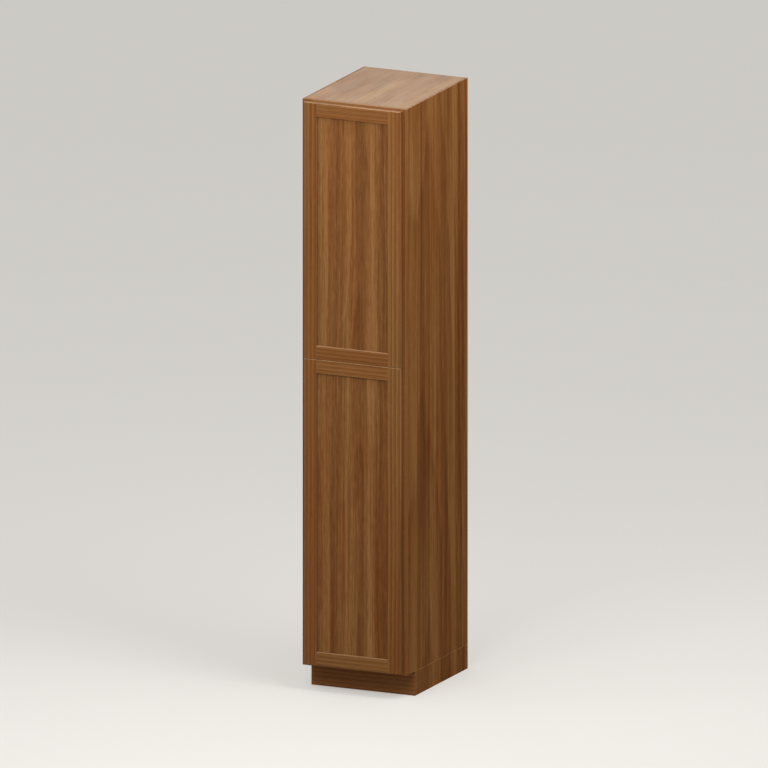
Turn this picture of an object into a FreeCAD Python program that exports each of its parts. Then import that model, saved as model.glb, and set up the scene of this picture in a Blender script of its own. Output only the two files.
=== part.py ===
import FreeCAD, Part
import os
import re

# Broom cupboard: a tall face-frame case on a recessed plinth, with two stacked frame-and-panel doors.
# The floor is z = 0, the doors face -y, and the origin is the middle of the footprint.

# Driving dimensions in millimetres.
SIZES = {
    # Overall
    "cabinet_width": 457.2,
    "cabinet_height": 2438.4,
    "case_depth": 590.55,
    # Case boards
    "board": 19.05,
    "dado_depth": 9.5,
    "back_thick": 6.35,
    "back_groove": 6.35,
    "hang_rail": 95.0,
    "hang_rail_thick": 19.05,
    "wall_hole_radius": 2.75,
    "wall_hole_spacing": 254.0,
    # Face frame
    "frame_thick": 19.05,
    "face_stile": 38.1,
    "face_top": 38.1,
    "face_middle": 63.5,
    "face_bottom": 38.1,
    "face_ease": 0.8,
    "dowel_radius": 4.0,
    "dowel_length": 40.0,
    "dowel_edge": 10.0,
    "dowel_fit": 0.05,
    "dowel_end_room": 0.5,
    # Shelves and their pins
    "shelf_play": 2.0,
    "shelf_setback": 8.0,
    "pin_radius": 2.5,
    "pin_fit": 0.05,
    "pin_depth": 9.0,
    "pin_reach": 9.0,
    "pin_collar_radius": 3.8,
    "pin_collar": 1.5,
    "pin_hole_depth": 9.5,
    "pin_start": 160.0,
    "pin_pitch": 32.0,
    "pin_column": 55.0,
    "shelf_count": 2,
    # Plinth
    "plinth_height": 101.6,
    "toe_recess": 85.0,
    "plinth_ease": 2.0,
    "corner_block": 40.0,
    "block_lift": 3.0,
    # Doors
    "door_thick": 19.05,
    "side_reveal": 15.9,
    "top_reveal": 7.9,
    "bottom_reveal": 8.0,
    "door_split": 1.5,
    "lower_door_height": 1262.7,
    "door_stile": 55.6,
    "door_rail": 55.6,
    "door_panel": 6.35,
    "panel_recess": 8.5,
    "panel_groove": 10.0,
    "panel_play": 0.5,
    "door_ease": 2.0,
    "bumper_radius": 5.0,
    "bumper_edge": 9.0,
    "bumper_inset": 25.0,
    "bumper_air": 0.15,
    # Hinges
    "hinge_height": 64.0,
    "hinge_inset": 100.0,
    "leaf_thick": 1.3,
    "leaf_air": 0.4,
    "frame_leaf_edge": 1.6,
    "door_leaf_width": 25.0,
    "knuckle_radius": 3.2,
    "knuckle_end": 16.0,
    "knuckle_door_air": 0.8,
    "knuckle_frame_air": 0.3,
    "hinge_pin_radius": 1.6,
    "hinge_pin_tip": 1.2,
    "pin_running_fit": 0.05,
    "pin_tight_fit": 0.01,
    "hinge_screw_spacing": 40.0,
    # Small countersunk screws of the hinges, latches and strikes
    "screw_head_radius": 3.2,
    "screw_head_depth": 1.8,
    "screw_radius": 1.6,
    "screw_length": 14.0,
    "screw_fit": 0.04,
    # Screws that hold the case on the plinth
    "plinth_screw_head_radius": 4.4,
    "plinth_screw_head_depth": 2.6,
    "plinth_screw_radius": 2.2,
    "plinth_screw_length": 44.0,
    # Push latches
    "latch_from_split": 260.0,
    "latch_width": 15.0,
    "latch_height": 16.0,
    "latch_depth": 44.0,
    "latch_inset": 0.5,
    "lug_thick": 2.5,
    "lug_ear": 15.0,
    "plunger_radius": 4.5,
    "plunger_length": 30.0,
    "plunger_fit": 0.1,
    "plunger_stroke": 3.0,
    "spring_room": 3.0,
    "magnet_radius": 3.0,
    "magnet_depth": 6.0,
    "magnet_fit": 0.03,
    "strike_width": 14.0,
    "strike_height": 40.0,
    "strike_thick": 1.2,
    "strike_air": 0.1,
    "strike_screw_edge": 7.0,
}

# Planes and lines that several pieces share, as formulas of the driving dimensions.
DOOR_GAP = "(2 * leaf_thick + leaf_air)"
FACE = f"(({DOOR_GAP} + door_thick - case_depth) / 2)"
REAR = f"(({DOOR_GAP} + door_thick + case_depth) / 2)"
DOOR_BACK = f"({FACE} - {DOOR_GAP})"
FRONT = f"({DOOR_BACK} - door_thick)"
CASE_FRONT = f"({FACE} + frame_thick)"
BACK_FRONT = f"({REAR} - hang_rail_thick - back_thick)"
LEFT = "(-cabinet_width / 2)"
INNER_LEFT = f"({LEFT} + board)"
INNER_WIDTH = "(cabinet_width - 2 * board)"
STILE_INNER_RIGHT = "(cabinet_width / 2 - face_stile)"
CASE_BOTTOM = "plinth_height"
BOTTOM_UNDER = f"({CASE_BOTTOM} + face_bottom - board)"
LOWER_DOOR_LOW = f"({CASE_BOTTOM} + bottom_reveal)"
SPLIT = f"({LOWER_DOOR_LOW} + lower_door_height + door_split / 2)"
SHELF_UNDER = f"({SPLIT} + face_middle / 2 - board)"
SHELF_TOP = f"({SHELF_UNDER} + board)"
TOP_UNDER = "(cabinet_height - board)"
UPPER_DOOR_LOW = f"({SPLIT} + door_split / 2)"
UPPER_DOOR_HEIGHT = f"(cabinet_height - top_reveal - {UPPER_DOOR_LOW})"
DOOR_LEFT = f"({LEFT} + side_reveal)"
DOOR_RIGHT = "(cabinet_width / 2 - side_reveal)"
DOOR_WIDTH = "(cabinet_width - 2 * side_reveal)"
PLINTH_FRONT = f"({FACE} + toe_recess)"
KNUCKLE_X = f"({DOOR_LEFT} - knuckle_radius - knuckle_door_air)"
KNUCKLE_Y = f"({FACE} - knuckle_radius - knuckle_frame_air)"

DIRECTIONS = {
    "+x": FreeCAD.Rotation(FreeCAD.Vector(0, 1, 0), 90),
    "-x": FreeCAD.Rotation(FreeCAD.Vector(0, 1, 0), -90),
    "+y": FreeCAD.Rotation(FreeCAD.Vector(1, 0, 0), -90),
    "-y": FreeCAD.Rotation(FreeCAD.Vector(1, 0, 0), 90),
    "+z": FreeCAD.Rotation(),
    "-z": FreeCAD.Rotation(FreeCAD.Vector(1, 0, 0), 180),
}
WORD = re.compile(r"[a-z_]+")
NEAR = 0.01

doc = FreeCAD.newDocument("BroomCupboard")
sheet = doc.addObject("Spreadsheet::Sheet", "Sizes")
for row, (alias, value) in enumerate(SIZES.items(), 1):
    sheet.set(f"A{row}", alias)
    sheet.set(f"B{row}", str(value))
    sheet.setAlias(f"B{row}", alias)
doc.recompute()

pieces = []


def formula(text):
    """Turn a formula of size names into an expression that reads the sheet."""
    def named(word):
        return f"Sizes.{word.group()}" if word.group() in SIZES else word.group()
    return WORD.sub(named, text)


def follow(item, settings):
    """Bind properties of an object to formulas."""
    for name, text in settings.items():
        item.setExpression(name, formula(text))
    return item


def stand(item, place, direction="+z"):
    """Turn an object to a direction and bind its base point to three formulas."""
    item.Placement = FreeCAD.Placement(FreeCAD.Vector(), DIRECTIONS[direction])
    return follow(item, {f"Placement.Base.{axis}": text for axis, text in zip("xyz", place)})


def block(x, y, z, name="Blank"):
    """Add a box; each axis gives its low side and its extent."""
    item = doc.addObject("Part::Box", name)
    follow(item, {"Length": x[1], "Width": y[1], "Height": z[1]})
    return stand(item, (x[0], y[0], z[0]))


def rod(radius, length, place, direction, name="Rod"):
    """Add a cylinder that starts at a place and runs in a direction."""
    item = doc.addObject("Part::Cylinder", name)
    follow(item, {"Radius": radius, "Height": length})
    return stand(item, place, direction)


def join(items, name="Joined"):
    """Fuse several overlapping objects into one."""
    item = doc.addObject("Part::MultiFuse", name)
    item.Shapes = items
    return item


def carve(base, tools, name="Carved"):
    """Cut one or more tools out of an object."""
    item = doc.addObject("Part::Cut", name)
    item.Base = base
    item.Tool = tools[0] if len(tools) == 1 else join(tools, "Tools")
    return item


def ease(base, size, chosen, name="Eased"):
    """Round the edges whose middle passes a test against the object's own box."""
    doc.recompute()
    box = base.Shape.BoundBox
    radius = sheet.get(size)
    item = doc.addObject("Part::Fillet", name)
    item.Base = base
    item.Edges = [
        (number, radius, radius)
        for number, edge in enumerate(base.Shape.Edges, 1)
        if chosen(edge.CenterOfMass, box)
    ]
    return item


def node(name, item):
    """Keep a finished object as a named piece of the cupboard."""
    item.Label = name
    pieces.append(item)
    return item


def group(name, items):
    """Keep several identical solids as one named piece."""
    item = doc.addObject("Part::Compound", "Group")
    item.Links = items
    return node(name, item)


def countersunk(place, direction, prefix="screw", room="0"):
    """Add a countersunk screw, or with room its hole, from the middle of its head."""
    radius = f"{prefix}_radius + {room}"
    head = doc.addObject("Part::Cone", "Head")
    follow(head, {
        "Radius1": f"{prefix}_head_radius + {room}",
        "Radius2": radius,
        "Height": f"{prefix}_head_depth",
    })
    stand(head, place, direction)
    shank = rod(radius, f"{prefix}_length + {room}", place, direction, "Shank")
    return join([head, shank], "Screw")


def screw_and_hole(place, direction, prefix="screw"):
    """Give a screw with the hole that it needs in what it passes through."""
    return countersunk(place, direction, prefix), countersunk(place, direction, prefix, "screw_fit")


def mirrored(low, extent):
    """Give the low side of the same span on the other side of the middle plane."""
    return f"(-({low}) - ({extent}))"


# Face frame rails: the low side and the height of each.
FACE_RAILS = {
    "face_rail_bottom": (CASE_BOTTOM, "face_bottom"),
    "face_rail_middle": (f"({SPLIT} - face_middle / 2)", "face_middle"),
    "face_rail_top": ("(cabinet_height - face_top)", "face_top"),
}
# Doors: the low side, the height and the height of the latch of each.
DOORS = {
    "upper": (UPPER_DOOR_LOW, UPPER_DOOR_HEIGHT, f"({SPLIT} + latch_from_split)"),
    "lower": (LOWER_DOOR_LOW, "lower_door_height", f"({SPLIT} - latch_from_split)"),
}


def hinge_heights(low, height):
    """Give the middle heights of a door's three hinges."""
    return [f"({low} + hinge_inset)", f"({low} + {height} / 2)", f"({low} + {height} - hinge_inset)"]


PIN_COLUMNS = [f"({CASE_FRONT} + pin_column)", f"({BACK_FRONT} - pin_column)"]


def upper_space():
    """Give the clear height of the compartment above the fixed shelf."""
    below = sum(SIZES[name] for name in ("plinth_height", "bottom_reveal", "lower_door_height"))
    middle = (SIZES["door_split"] + SIZES["face_middle"]) / 2
    return SIZES["cabinet_height"] - SIZES["board"] - below - middle


def pin_height(number):
    """Give the height of a row of shelf pin holes."""
    return f"({SHELF_TOP} + pin_start + {number} * pin_pitch)"


def pin_rows():
    """Give the number of rows that fit between the equal margins at the bottom and the top."""
    return int((upper_space() - 2 * SIZES["pin_start"]) / SIZES["pin_pitch"]) + 1


def shelf_rows():
    """Give the rows of pins that share the compartment most evenly among the shelves."""
    share = upper_space() / (SIZES["shelf_count"] + 1)
    return [round((share * count - SIZES["pin_start"]) / SIZES["pin_pitch"])
            for count in range(1, SIZES["shelf_count"] + 1)]


def wall_holes(low, length, y):
    """Give the pair of wall screw holes of the hanging rail that starts at a height."""
    z = f"{low} + hang_rail / 2"
    return [
        rod("wall_hole_radius", length, (f"{sign} * wall_hole_spacing / 2", y, z), "+y")
        for sign in ("-1", "1")
    ]


HANG_RAILS = {
    "hang_rail_bottom": f"({BOTTOM_UNDER} + board)",
    "hang_rail_middle": f"({SHELF_UNDER} + board / 2 - hang_rail / 2)",
    "hang_rail_top": f"({TOP_UNDER} - hang_rail)",
}


def build_sides():
    """Make the two side boards, with dadoes for the panels, a groove for the back and shelf pin holes."""
    depth = (CASE_FRONT, "(case_depth - frame_thick)")
    for name, mirror in (("side_left", False), ("side_right", True)):
        def across(low, extent):
            return (mirrored(low, extent), extent) if mirror else (low, extent)
        blank = block(across(LEFT, "board"), depth, (CASE_BOTTOM, "(cabinet_height - plinth_height)"))
        dado = across(f"({INNER_LEFT} - dado_depth)", "dado_depth")
        cuts = [block(dado, depth, (low, "board")) for low in (BOTTOM_UNDER, SHELF_UNDER, TOP_UNDER)]
        cuts.append(block(
            across(f"({INNER_LEFT} - back_groove)", "back_groove"),
            (BACK_FRONT, "back_thick"),
            (f"{BOTTOM_UNDER} + board", f"{TOP_UNDER} - {BOTTOM_UNDER} - board"),
        ))
        face = f"-({INNER_LEFT})" if mirror else INNER_LEFT
        for number in range(pin_rows()):
            for column in PIN_COLUMNS:
                place = (face, column, pin_height(number))
                cuts.append(rod("pin_radius + pin_fit", "pin_hole_depth", place, "+x" if mirror else "-x"))
        node(name, carve(blank, cuts))


def build_case_panels():
    """Make the top, the bottom, the fixed shelf, the back and its hanging rails."""
    width = (f"({INNER_LEFT} - dado_depth)", f"({INNER_WIDTH} + 2 * dado_depth)")
    full_depth = (CASE_FRONT, "(case_depth - frame_thick)")
    node("top_panel", block(width, full_depth, (TOP_UNDER, "board")))
    node("fixed_shelf", block(width, (CASE_FRONT, f"{BACK_FRONT} - {CASE_FRONT}"), (SHELF_UNDER, "board")))
    screw_places = block_centres(f"{BOTTOM_UNDER} + board")
    screws = [screw_and_hole(place, "-z", "plinth_screw") for place in screw_places]
    bottom = block(width, full_depth, (BOTTOM_UNDER, "board"))
    node("bottom_panel", carve(bottom, [hole for _, hole in screws]))
    group("plinth_screws", [screw for screw, _ in screws])
    back = block(
        (f"({INNER_LEFT} - back_groove)", f"({INNER_WIDTH} + 2 * back_groove)"),
        (BACK_FRONT, "back_thick"),
        (f"{BOTTOM_UNDER} + board", f"{TOP_UNDER} - {BOTTOM_UNDER} - board"),
    )
    holes = [hole for low in HANG_RAILS.values() for hole in wall_holes(low, "back_thick", BACK_FRONT)]
    node("back_panel", carve(back, holes))
    rail_front = f"({REAR} - hang_rail_thick)"
    for name, low in HANG_RAILS.items():
        rail = block((INNER_LEFT, INNER_WIDTH), (rail_front, "hang_rail_thick"), (low, "hang_rail"))
        node(name, carve(rail, wall_holes(low, "hang_rail_thick", rail_front)))


def build_shelves():
    """Make the adjustable shelves and the four pins that carry each of them."""
    width = (f"({INNER_LEFT} + shelf_play)", f"({INNER_WIDTH} - 2 * shelf_play)")
    front = f"({CASE_FRONT} + shelf_setback)"
    pins = []
    for number, pin_row in enumerate(shelf_rows(), 1):
        height = pin_height(pin_row)
        under = f"({height} + pin_radius)"
        depth = (front, f"{BACK_FRONT} - shelf_play - {front}")
        node(f"adjustable_shelf_{number}", block(width, depth, (under, "board")))
        for sign, direction in (("1", "+x"), ("-1", "-x")):
            for column in PIN_COLUMNS:
                start = (f"{sign} * ({INNER_LEFT} - pin_depth)", column, height)
                collar = (f"{sign} * {INNER_LEFT}", column, height)
                pins.append(join([
                    rod("pin_radius", "pin_depth + pin_reach", start, direction),
                    rod("pin_collar_radius", "pin_collar", collar, direction),
                ], "Pin"))
    group("shelf_pins", pins)


def build_face_frame():
    """Make the face frame: stiles, rails and the dowels between them, with holes for hinges and latches."""
    stile_height = (CASE_BOTTOM, "(cabinet_height - plinth_height)")
    rail_width = "(cabinet_width - 2 * face_stile)"
    depth = (FACE, "frame_thick")
    middle = f"({FACE} + frame_thick / 2)"
    dowels = []
    stile_holes = {"face_stile_left": frame_leaf_holes(), "face_stile_right": latch_lug_holes()}
    for name, (low, height) in FACE_RAILS.items():
        rail_holes = []
        for z in (f"{low} + dowel_edge", f"{low} + {height} - dowel_edge"):
            for stile, sign, direction in (("face_stile_left", "-1", "+x"), ("face_stile_right", "1", "-x")):
                joint = f"{sign} * {STILE_INNER_RIGHT}"
                out = f"{joint} + {sign} * dowel_length / 2"
                hole_out = f"{out} + {sign} * dowel_end_room"
                dowels.append(rod("dowel_radius", "dowel_length", (out, middle, z), direction, "Dowel"))
                for holes in (rail_holes, stile_holes[stile]):
                    holes.append(rod(
                        "dowel_radius + dowel_fit", "dowel_length + 2 * dowel_end_room",
                        (hole_out, middle, z), direction, "DowelHole",
                    ))
        rail = block((f"-{rail_width} / 2", rail_width), depth, (low, height))
        node(name, carve(rail, rail_holes))
    for name, low, outer in (
        ("face_stile_left", LEFT, lambda box: box.XMin),
        ("face_stile_right", STILE_INNER_RIGHT, lambda box: box.XMax),
    ):
        stile = ease(
            block((low, "face_stile"), depth, stile_height), "face_ease",
            lambda point, box: abs(point.y - box.YMin) < NEAR and abs(point.x - outer(box)) < NEAR,
        )
        node(name, carve(stile, stile_holes[name]))
    group("face_frame_dowels", dowels)


def block_centres(z):
    """Give the middle points of the four corner blocks at a height."""
    x = f"({INNER_LEFT} + corner_block / 2)"
    front = f"({PLINTH_FRONT} + board + corner_block / 2)"
    rear = f"({REAR} - board - corner_block / 2)"
    return [(f"{sign} * {x}", y, z) for sign in ("1", "-1") for y in (front, rear)]


def build_plinth():
    """Make the plinth: four boards, a brace and corner blocks that reach up to the bottom panel."""
    height = ("0", "plinth_height")
    inner = f"({PLINTH_FRONT} + board)"
    run = (inner, f"({REAR} - board - {inner})")
    width = (LEFT, "cabinet_width")
    boards = {
        "plinth_front": block(width, (PLINTH_FRONT, "board"), height),
        "plinth_back": block(width, (f"{REAR} - board", "board"), height),
        "plinth_left": block((LEFT, "board"), run, height),
        "plinth_right": block((mirrored(LEFT, "board"), "board"), run, height),
    }
    half_width = SIZES["cabinet_width"] / 2
    for name, board in boards.items():
        node(name, ease(
            board, "plinth_ease",
            lambda point, box: abs(point.z - box.ZMax) < NEAR and abs(abs(point.x) - half_width) < NEAR,
        ))
    brace_y = f"(({inner} + {REAR} - board) / 2 - board / 2)"
    brace_x = (f"{LEFT} + board", "cabinet_width - 2 * board")
    node("plinth_brace", block(brace_x, (brace_y, "board"), height))
    blocks = []
    half = "corner_block / 2"
    for (x, y, _), (_, _, top) in zip(block_centres("0"), block_centres(f"{BOTTOM_UNDER} + board")):
        blank = block((f"{x} - {half}", "corner_block"), (f"{y} - {half}", "corner_block"),
                      ("block_lift", f"{BOTTOM_UNDER} - block_lift"))
        blocks.append(carve(blank, [countersunk((x, y, top), "-z", "plinth_screw", "screw_fit")]))
    group("plinth_corner_blocks", blocks)


def leaf_screw_heights(middle):
    """Give the heights of the two screws of a hinge leaf."""
    return [f"({middle} - hinge_screw_spacing / 2)", f"({middle} + hinge_screw_spacing / 2)"]


def all_hinge_heights():
    """Give the middle heights of the hinges of both doors."""
    return [middle for low, height, _ in DOORS.values() for middle in hinge_heights(low, height)]


FRAME_LEAF_LEFT = f"({KNUCKLE_X} + knuckle_radius + leaf_air)"
FRAME_LEAF_WIDTH = f"({LEFT} + face_stile - frame_leaf_edge - {FRAME_LEAF_LEFT})"
FRAME_SCREW_X = f"({FRAME_LEAF_LEFT} + {FRAME_LEAF_WIDTH} / 2)"
DOOR_SCREW_X = f"({DOOR_LEFT} + door_leaf_width / 2)"


def frame_leaf_holes():
    """Give the screw holes of the frame leaves."""
    return [
        countersunk((FRAME_SCREW_X, f"{FACE} - leaf_thick", z), "+y", room="screw_fit")
        for middle in all_hinge_heights() for z in leaf_screw_heights(middle)
    ]


def build_frame_leaves():
    """Make the hinge leaves on the face frame, with their end knuckles, pins and screws."""
    leaves = []
    pins = []
    screws = []
    plate_y = (f"{FACE} - leaf_thick", "leaf_thick")
    for middle in all_hinge_heights():
        low = f"({middle} - hinge_height / 2)"
        solids = [block((FRAME_LEAF_LEFT, FRAME_LEAF_WIDTH), plate_y, (low, "hinge_height"))]
        for end in (low, f"({middle} + hinge_height / 2 - knuckle_end)"):
            solids.append(rod("knuckle_radius", "knuckle_end", (KNUCKLE_X, KNUCKLE_Y, end), "+z"))
            reach = f"{FRAME_LEAF_LEFT} + leaf_thick - {KNUCKLE_X}"
            solids.append(block((KNUCKLE_X, reach), plate_y, (end, "knuckle_end")))
        bore = rod("hinge_pin_radius + pin_tight_fit", "hinge_height", (KNUCKLE_X, KNUCKLE_Y, low), "+z")
        holes = []
        for z in leaf_screw_heights(middle):
            screw, hole = screw_and_hole((FRAME_SCREW_X, plate_y[0], z), "+y")
            screws.append(screw)
            holes.append(hole)
        leaves.append(carve(join(solids), [bore] + holes))
        pins.append(rod(
            "hinge_pin_radius", "hinge_height + 2 * hinge_pin_tip",
            (KNUCKLE_X, KNUCKLE_Y, f"{low} - hinge_pin_tip"), "+z", "HingePin",
        ))
    group("hinge_frame_leaves", leaves)
    group("hinge_pins", pins)
    group("hinge_frame_screws", screws)


def latch_lug_screws(z, room="0"):
    """Give the two screws, or holes, that hold a latch to the edge of the right stile."""
    x = f"{STILE_INNER_RIGHT} - lug_thick"
    y = f"{FACE} + frame_thick / 2"
    offset = "(latch_height + lug_ear) / 2"
    return [countersunk((x, y, f"{z} + {sign} * {offset}"), "+x", room=room) for sign in ("-1", "1")]


def latch_lug_holes():
    """Give the latch screw holes of the right stile."""
    return [hole for _, _, z in DOORS.values() for hole in latch_lug_screws(z, "screw_fit")]


def build_latches():
    """Make a push latch for each door: housing with lugs, sliding plunger and the magnet in its tip."""
    screws = []
    x = f"({STILE_INNER_RIGHT} - latch_width / 2)"
    tip = f"({DOOR_BACK} + strike_thick + strike_air)"
    front = f"({FACE} + latch_inset)"
    for door, (_, _, z) in DOORS.items():
        case = block(
            (f"{STILE_INNER_RIGHT} - latch_width", "latch_width"),
            (front, "latch_depth"),
            (f"{z} - latch_height / 2", "latch_height"),
        )
        lugs = block(
            (f"{STILE_INNER_RIGHT} - lug_thick", "lug_thick"),
            (front, "frame_thick - 2 * latch_inset"),
            (f"{z} - latch_height / 2 - lug_ear", "latch_height + 2 * lug_ear"),
        )
        bore_depth = f"{tip} + plunger_length + plunger_stroke + spring_room - {front}"
        bore = rod("plunger_radius + plunger_fit", bore_depth, (x, front, z), "+y")
        node(f"{door}_latch_housing", carve(join([case, lugs]), [bore] + latch_lug_screws(z, "screw_fit")))
        screws += latch_lug_screws(z)
        plunger = rod("plunger_radius", "plunger_length", (x, tip, z), "+y")
        pocket = rod("magnet_radius + magnet_fit", "magnet_depth", (x, tip, z), "+y")
        node(f"{door}_latch_plunger", carve(plunger, [pocket]))
        node(f"{door}_latch_magnet", rod("magnet_radius", "magnet_depth", (x, tip, z), "+y"))
    group("latch_screws", screws)


def build_door_frame(door, low, height, stile_holes):
    """Make a door's stiles, rails and panel, joined by tongues and grooves."""
    thick = (FRONT, "door_thick")
    groove_y = (f"{FRONT} + panel_recess", "door_panel")
    inner_left = f"({DOOR_LEFT} + door_stile)"
    inner_width = f"({DOOR_WIDTH} - 2 * door_stile)"

    def front_long(point, box):
        ends = abs(point.z - box.ZMin) < NEAR or abs(point.z - box.ZMax) < NEAR
        return abs(point.y - box.YMin) < NEAR and ends

    def front_outer(side):
        def chosen(point, box):
            at_side = abs(point.y - box.YMin) < NEAR and abs(point.x - side(box)) < NEAR
            return at_side or front_long(point, box)
        return chosen

    stiles = (
        ("hinge", DOOR_LEFT, f"({inner_left} - panel_groove)", lambda box: box.XMin),
        ("free", f"({DOOR_RIGHT} - door_stile)", f"({DOOR_RIGHT} - door_stile)", lambda box: box.XMax),
    )
    for side, left, groove_left, outer in stiles:
        stile = ease(block((left, "door_stile"), thick, (low, height)), "door_ease", front_outer(outer))
        groove = block((groove_left, "panel_groove"), groove_y, (low, height))
        node(f"{door}_door_{side}_stile", carve(stile, [groove] + stile_holes[side]))
    tongue_x = (f"{inner_left} - panel_groove", f"{inner_width} + 2 * panel_groove")
    rails = (
        ("top", f"({low} + {height} - door_rail)", "0"),
        ("bottom", low, "door_rail - panel_groove"),
    )
    for side, rail_low, groove_up in rails:
        rail = ease(
            block((inner_left, inner_width), thick, (rail_low, "door_rail")), "door_ease", front_long,
        )
        tongue = block(tongue_x, groove_y, (rail_low, "door_rail"))
        groove = block(tongue_x, groove_y, (f"{rail_low} + {groove_up}", "panel_groove"))
        node(f"{door}_door_{side}_rail", carve(join([rail, tongue]), [groove]))
    lap = "(panel_groove - panel_play)"
    node(f"{door}_door_panel", block(
        (f"{inner_left} - {lap}", f"{inner_width} + 2 * {lap}"), groove_y,
        (f"{low} + door_rail - {lap}", f"{height} - 2 * door_rail + 2 * {lap}"),
    ))


def build_door(door, low, height, latch_z):
    """Make a door with its hinge leaves, strike plate, bumpers and screws."""
    leaves = []
    leaf_screws = []
    leaf_holes = []
    plate_y = (DOOR_BACK, "leaf_thick")
    head_y = f"{DOOR_BACK} + leaf_thick"
    for middle in hinge_heights(low, height):
        plate_low = f"({middle} - hinge_height / 2)"
        knuckle_low = f"({plate_low} + knuckle_end + leaf_air)"
        knuckle_length = "(hinge_height - 2 * knuckle_end - 2 * leaf_air)"
        plate = block((DOOR_LEFT, "door_leaf_width"), plate_y, (plate_low, "hinge_height"))
        reach = f"{DOOR_LEFT} - {KNUCKLE_X} + leaf_thick"
        arm = block((KNUCKLE_X, reach), plate_y, (knuckle_low, knuckle_length))
        place = (KNUCKLE_X, KNUCKLE_Y, knuckle_low)
        knuckle = rod("knuckle_radius", knuckle_length, place, "+z")
        bore = rod("hinge_pin_radius + pin_running_fit", knuckle_length, place, "+z")
        pairs = [screw_and_hole((DOOR_SCREW_X, head_y, z), "-y") for z in leaf_screw_heights(middle)]
        leaf_screws += [screw for screw, _ in pairs]
        leaf_holes += [hole for _, hole in pairs]
        leaves.append(carve(join([plate, arm, knuckle]), [bore] + [hole for _, hole in pairs]))
    strike_x = f"({STILE_INNER_RIGHT} - latch_width / 2)"
    strike_face = f"{DOOR_BACK} + strike_thick"
    strike_offset = "(strike_height / 2 - strike_screw_edge)"
    strike_places = [
        (strike_x, strike_face, f"{latch_z} + {sign} * {strike_offset}") for sign in ("-1", "1")
    ]
    strike_pairs = [screw_and_hole(place, "-y") for place in strike_places]
    strike_holes = [hole for _, hole in strike_pairs]
    strike = block((f"{strike_x} - strike_width / 2", "strike_width"), (DOOR_BACK, "strike_thick"),
                   (f"{latch_z} - strike_height / 2", "strike_height"))
    build_door_frame(door, low, height, {"hinge": leaf_holes, "free": strike_holes})
    group(f"{door}_door_hinge_leaves", leaves)
    group(f"{door}_door_hinge_screws", leaf_screws)
    node(f"{door}_door_strike", carve(strike, strike_holes))
    group(f"{door}_door_strike_screws", [screw for screw, _ in strike_pairs])
    bumper_x = f"{DOOR_RIGHT} - bumper_edge"
    group(f"{door}_door_bumpers", [
        rod("bumper_radius", f"{DOOR_GAP} - bumper_air", (bumper_x, DOOR_BACK, z), "+y", "Bumper")
        for z in (f"{low} + bumper_inset", f"{low} + {height} - bumper_inset")
    ])


def check_and_write():
    """Stop on any failed object or unsound piece, then write each piece to its own file."""
    doc.recompute()
    failed = [item.Name for item in doc.Objects if "Invalid" in item.State or "Error" in item.State]
    if failed:
        raise RuntimeError(f"failed objects: {failed}")
    for item in pieces:
        if item.Shape.isNull() or not item.Shape.isValid():
            raise RuntimeError(f"unsound piece: {item.Label}")
    os.makedirs("parts", exist_ok=True)
    for item in pieces:
        item.Shape.exportStep(f"parts/{item.Label}.step")
        print(item.Label, len(item.Shape.Solids), round(item.Shape.Volume))


build_sides()
build_case_panels()
build_shelves()
build_face_frame()
build_plinth()
build_frame_leaves()
build_latches()
for door_name, (door_low, door_height, door_latch) in DOORS.items():
    build_door(door_name, door_low, door_height, door_latch)
check_and_write()
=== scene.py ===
"""Broom cupboard: looks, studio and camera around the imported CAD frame.

Lengths are in millimetres unless a name says otherwise. Blender itself works in metres.
"""

import logging
import math
from collections.abc import Callable, Iterable, Sequence
from dataclasses import dataclass, field, replace
from enum import Enum
from functools import partial

import bmesh
import bpy
from mathutils import Matrix, Vector


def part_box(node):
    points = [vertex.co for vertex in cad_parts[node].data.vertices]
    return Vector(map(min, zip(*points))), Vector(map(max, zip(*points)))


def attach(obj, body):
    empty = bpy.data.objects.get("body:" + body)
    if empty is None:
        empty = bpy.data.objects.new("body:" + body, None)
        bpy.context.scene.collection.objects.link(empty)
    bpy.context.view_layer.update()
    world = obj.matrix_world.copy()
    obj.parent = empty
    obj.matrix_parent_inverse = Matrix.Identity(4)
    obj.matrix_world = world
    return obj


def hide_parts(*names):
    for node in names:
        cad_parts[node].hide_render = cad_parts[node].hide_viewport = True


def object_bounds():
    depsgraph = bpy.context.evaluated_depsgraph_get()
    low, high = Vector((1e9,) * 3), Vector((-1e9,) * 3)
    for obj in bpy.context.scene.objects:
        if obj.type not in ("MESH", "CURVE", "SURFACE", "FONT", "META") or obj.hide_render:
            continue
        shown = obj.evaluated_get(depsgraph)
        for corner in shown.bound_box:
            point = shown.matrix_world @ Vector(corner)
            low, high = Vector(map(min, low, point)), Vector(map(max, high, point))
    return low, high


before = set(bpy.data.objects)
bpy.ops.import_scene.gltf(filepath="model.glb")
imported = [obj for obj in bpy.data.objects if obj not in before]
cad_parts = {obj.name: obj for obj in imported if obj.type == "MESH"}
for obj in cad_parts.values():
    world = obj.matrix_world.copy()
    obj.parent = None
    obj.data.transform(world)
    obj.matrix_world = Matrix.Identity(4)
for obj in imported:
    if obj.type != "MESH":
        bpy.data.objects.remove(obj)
CAD_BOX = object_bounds()
MM = 0.001
# Vertices of a CAD mesh closer than this are one point, in metres.
WELD_M = 2e-6
# CAD faces that meet flatter than the first are one, and edges sharper than the second get rounded.
FLAT, CORNER = math.radians(0.5), math.radians(40)
# Edges shorter than this stay sharp: on boards, and on stampings and mouldings.
BOARD_EDGE, SMALL_EDGE = 12.0, 10.0
# Faces that meet flatter than this are shaded as one: on turned pieces, and on stampings.
TURNED_CREASE, STAMPED_CREASE = math.radians(32), math.radians(20)
# Faces of a stamping smaller than this, in square metres, belong to a rolled barrel or a hole.
BARREL_FACE_M2 = 1.2e-5
# Rounded edges of a board carry this face attribute, which its finish paints paler: rubbed wood, and on
# level edges a painted highlight.
ARRIS = "arris"
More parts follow.
